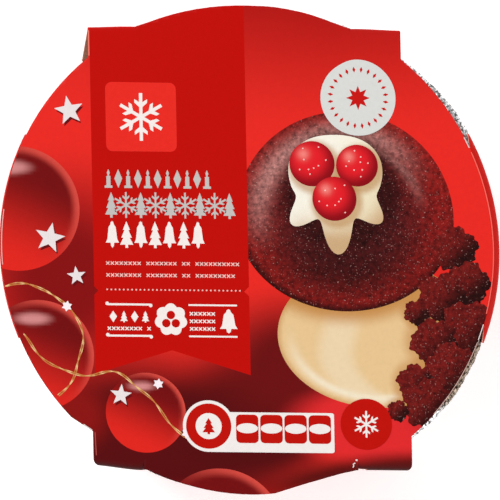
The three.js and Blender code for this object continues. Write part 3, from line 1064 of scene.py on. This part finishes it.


# Scuffed creases with painted highlights along them, and small tears

wearAndHighlights = {
    # along a wing's edge: how far in, from and to which degrees, steps, width and colour
    "edges": (
        ("right", 0.22, -15, 23.5, 48, 0.34, "#FF6E62"),  # the creased edge is rubbed, and its pale line is partly a painted highlight
        ("right", 0.2, -17.6, -21.4, 12, 0.3, "#F3E4E0"),  # torn paper at the slits
        ("right", 0.2, 24.6, 27.3, 12, 0.3, "#F3E4E0"),
        ("right", 0.16, -22, -42, 24, 0.2, "#DDBBAE"),  # bare cut edge
        # the left creased edge: rubbed, and its pale line partly a painted highlight
        ("left", 0.3, 171, 184, 16, 0.3, "#F2B8B2"),
    ),
    # marks on the band: width, colour and route
    "marks": (
        (0.45, "#F0806E", (-53.25, 75.2), (-53.25, 71), (-53.25, 66.5)),
        (0.3, "#B8504C", (-53.65, -63.4), (-53.5, -67.5), (-53.35, -71.4)),
        (0.3, "#F3E4E0", (-57.6, -60.7), (-56, -61.8), (-54.6, -62.7)),
        (0.4, "#F3E4E0", (35.1, -74.7), (35.4, -74.1), (35.2, -73.6), (35.9, -73.1)),
    ),
    "chip": (36.4, -72.1, 0.4, (1, 0.8)), "chipInk": "#F3E4E0",
}


def wearAndHighlightFilms():
    for side, inside, start, end, steps, width, ink in wearAndHighlights["edges"]:
        angles = [start + (end - start) * k / steps for k in range(steps + 1)]
        route = [onWing(carton[side], carton["wing"] - inside, angle).xy for angle in angles]
        yield stroke(route, width), 5, ink
    for width, ink, *route in wearAndHighlights["marks"]:
        yield stroke(route, width), 5, ink
    yield disc(*wearAndHighlights["chip"], segments=9), 5, wearAndHighlights["chipInk"]


# The foil dish, all sizes in mm

dish = {
    "x": 1.9, "y": -0.4, "bottom": 1.3, "panelLift": 0.8, "panel": 50, "foot": 57, "base": 62, "corner": 4.2,
    "wallTop": (73.4, 41.2), "flange": 74.8, "flangeUnder": 43.5, "flangeTop": 44.1,
    "bead": 1.2, "beadRise": 0.3, "rim": 85.2,
    "pleats": 96, "wallDepth": 1.1, "flangeDepth": 0.3, "uneven": 0.35, "crinkle": 0.16, "rimCrinkle": 0.3,
    # by angle: where the rim is bent out or in, and where its colour is tinted duller and browner
    "bent": ((1.5, -54, -30, -24, -17), (0.8, 16, 28, 34, 41), (-0.35, 40, 46, 57, 64),
             (-1.9, -150, -137, -125, -118)),
    "dulled": ((1, -42, -37, -23, -20),), "dullTint": "#A89684",
    "pressedIn": 1.4,  # where the sleeve holds the rim
    "dentGap": 0.6,  # how far behind the bottom flap's bent end the dented rim lies
    "slotTop": 44.75, "slotLow": 41.65, "slotHalf": 38.8,
}


def uneven(index):
    wave = sin(index * 12.9898) * 43758.5453
    return 2 * (wave - floor(wave)) - 1


def foilSection():
    d = dish
    low, under, top, roll = d["bottom"], d["flangeUnder"], d["flangeTop"], d["bead"]
    middle, centre = top + d["beadRise"] - roll, d["rim"] - roll
    section = [(r, low + d["panelLift"]) for r in (0, 20, 40, d["panel"])]
    section += [(d["panel"] + 2, low), (d["foot"], low)]
    section += [(d["base"] - 0.3 * d["corner"], low + 0.3 * d["corner"])]
    section += [mixed((d["base"], low + d["corner"]), d["wallTop"], k / 14) for k in range(15)]
    section += [mixed((d["flange"], under), (centre - roll, under), k / 4) for k in range(5)]
    turns = [radians(a) for a in range(-90, 91, 20)]
    section += [(centre + roll * cos(turn), middle + roll * sin(turn)) for turn in turns]
    return section + [(centre - roll * (1 + k), top) for k in range(1, 4)] + [(60, top), (0, top)]


def crimp(x, y, z):  # pleats in the wall and rim, with each fold a little different and the foil crinkled
    d = dish
    radius, turn = hypot(x, y), atan2(y, x)
    if radius < d["base"] - 3 or radius < 70 and z > d["flangeUnder"]:
        return 0, 0
    columns = 2 * d["pleats"]
    place = (turn / (2 * pi)) % 1 * columns
    first = floor(place)
    folds = []
    for k in (first, first + 1):
        fold, odd = -0.5 if k % 2 else 0.5, uneven(k % columns)
        folds.append((fold * d["wallDepth"] * (0.8 + 0.2 * odd), d["uneven"] * 0.5 * (odd - 1),
                      fold * d["flangeDepth"] * (0.75 + 0.25 * odd)))
    deep, out, up = mixed(*folds, place - first)
    crinkle = noise.noise(Vector((x, y, z)) * 1.1) + 0.7 * noise.noise(Vector((x, y, z)) * 2.4)
    if z < d["wallTop"][1] + 0.1:
        return deep * smoothStep(d["bottom"], d["bottom"] + d["corner"], z) + d["crinkle"] * crinkle, 0
    pushed = swell(d["bent"], degrees(turn)) - d["pressedIn"] * abs(cos(2 * turn))
    onRim = smoothStep(76, 84, radius)
    return ((out + pushed) * onRim + d["rimCrinkle"] * crinkle,
            (up + 0.8 * d["rimCrinkle"] * crinkle) * onRim)


def makeDish():
    bm = bmesh.new()
    pen = bm.verts.new((0, 0, dish["bottom"] + dish["panelLift"]))
    for radius, z in foilSection()[1:]:
        pen = bmesh.ops.extrude_vert_indiv(bm, verts=[pen])["verts"][0]
        pen.co = (radius, 0, z)
    bmesh.ops.spin(bm, geom=bm.verts[:] + bm.edges[:], cent=(0, 0, 0), axis=(0, 0, 1), angle=2 * pi,
                   steps=12 * dish["pleats"], use_merge=True)
    bmesh.ops.remove_doubles(bm, verts=bm.verts[:], dist=0.001)
    bmesh.ops.recalc_face_normals(bm, faces=bm.faces[:])
    (skewX, skewY), bottom = carton["skew"], carton["bottom"]
    bendX = carton["bentFrom"]
    bendY = -bottom["flapCentre"] - sqrt(bottom["flapRadius"] ** 2 - bendX ** 2)
    bendFrom, bendTo = (Vector((x - skewX * y, y - skewY * x)) for x, y in (
        (bendX, bendY), (carton["flapHalf"], -bottom["fold"])))
    along = (bendTo - bendFrom).normalized()
    outward = Vector((along.y, -along.x))
    tint = bm.verts.layers.float_color.new("ink")
    for vert in bm.verts:
        x, y, z = vert.co
        dulled = swell(dish["dulled"], degrees(atan2(y, x))) * (z > dish["wallTop"][1])
        vert[tint] = mixed((1, 1, 1, 1), toLinear(dish["dullTint"]), dulled)
        out, up = crimp(x, y, z)
        radius = hypot(x, y)
        if radius > 0.01:
            x, y = x * (1 + out / radius), y * (1 + out / radius)
        place = Vector((x + dish["x"], y + dish["y"]))
        beyond = (place - bendFrom).dot(outward) + dish["dentGap"]
        if beyond > 0 and place.y < 0:
            place -= outward * beyond
        vert.co = (place.x + carton["shift"], place.y, z + up)
    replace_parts(finishPiece("foilDish", bm, [foil], 50), "foil_dish")


makeSleeve()
print("sleeve folded")
for name, films, *material in (
        ("printBaubles", baubleFilms), ("printStars", starFilms), ("printLights", lightFilms),
        ("printBannerOrnaments", ornamentFilms), ("printCustard", custardFilms),
        ("printDome", domeFilms, makeCrumbInk()), ("printCreamAndBerries", creamFilms),
        ("printSticker", stickerFilms), ("printLabels", labelFilms), ("wornCreases", wearAndHighlightFilms)):
    layPrint(name, films(), *material)
print("sleeve printed")
makeDish()
print("dish pressed")


# Floor, light and camera

studio = {
    "floor": "#FCFBFA", "floorSize": 3.0, "floorGlow": 0.3,
    "millimetresAcross": 172.5, "distance": 0.78, "middle": (0.135, 0.0),
    "walls": 1.15, "ceiling": 0.1,
    "lamps": (("keyLight", (-1.6, 1.6, 2.0), 1.6, 56), ("fillLight", (1.9, -1.4, 1.9), 1.6, 34)),
}


def makeSky():  # a white room that is darker overhead, so that the varnish keeps its deep colours
    world = bpy.data.worlds.new("studio")
    world.use_nodes = True
    bpy.context.scene.world = world
    way = addNode(world, "ShaderNodeTexCoord")
    parts = addNode(world, "ShaderNodeSeparateXYZ", links={"Vector": way.outputs["Generated"]})
    light = addRange(world, parts.outputs["Z"], studio["walls"], studio["ceiling"], 0.45, 0.95, "SMOOTHSTEP")
    background = world.node_tree.nodes["Background"]
    background.inputs["Color"].default_value = (1, 1, 1, 1)
    world.node_tree.links.new(light, background.inputs["Strength"])


def makeStudio():
    bm = bmesh.new()
    bmesh.ops.create_grid(bm, x_segments=1, y_segments=1, size=studio["floorSize"] / 2)
    backdrop = addObject("floor", toMesh("floor", bm))
    paper, _ = startMaterial("matt_white_backdrop_paper", {  # lit a little from below
        "Base Color": toLinear(studio["floor"]), "Roughness": 0.9,
        "Emission Color": (1, 1, 1, 1), "Emission Strength": studio["floorGlow"],
    })
    backdrop.data.materials.append(paper)
    makeSky()
    for name, place, size, power in studio["lamps"]:
        light = bpy.data.lights.new(name, "AREA")
        light.size = size
        light.energy = power
        lamp = addObject(name, light)
        lamp.location = place
        lamp.rotation_euler = (-Vector(place)).to_track_quat("-Z", "Y").to_euler()
    camera = bpy.data.cameras.new("camera")
    camera.lens = camera.sensor_width * studio["distance"] / (studio["millimetresAcross"] * mm)
    eye = addObject("camera", camera)
    x, y = studio["middle"]
    eye.location = (x * mm, y * mm, carton["depth"] * mm + studio["distance"])
    bpy.context.scene.camera = eye
    bpy.context.scene.view_settings.view_transform = "Standard"


makeStudio()
print("studio ready")
